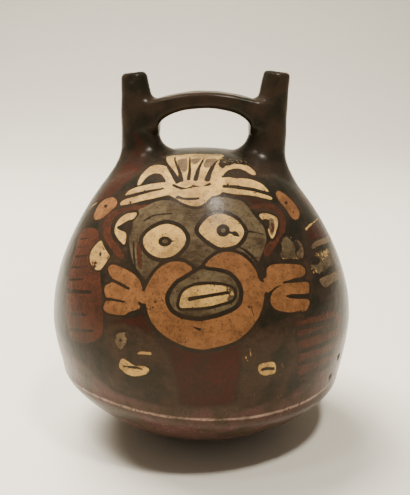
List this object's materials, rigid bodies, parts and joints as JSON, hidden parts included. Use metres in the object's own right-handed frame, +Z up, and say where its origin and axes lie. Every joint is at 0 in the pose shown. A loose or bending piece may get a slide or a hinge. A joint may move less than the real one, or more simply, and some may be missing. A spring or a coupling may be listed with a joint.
{
  "type": "double spout and bridge vase",
  "caption": "Hollow round-bodied clay bottle with leaning spouts joined by a strap bridge, its front painted with a masked mythical face in coloured slips.",
  "frame": {"origin": "middle of the base, on the surface that the vase stands on", "axes": "+Z up; the bridge runs along X; the painted face looks to -Y"},
  "size_m": [0.1496, 0.1496, 0.1804],
  "materials": {
    "slip_painted_clay": "burnished, semi-gloss"
  },
  "bodies": {
    "root": {"double_spout_vase": "slip_painted_clay"}
  },
  "joints": []
}
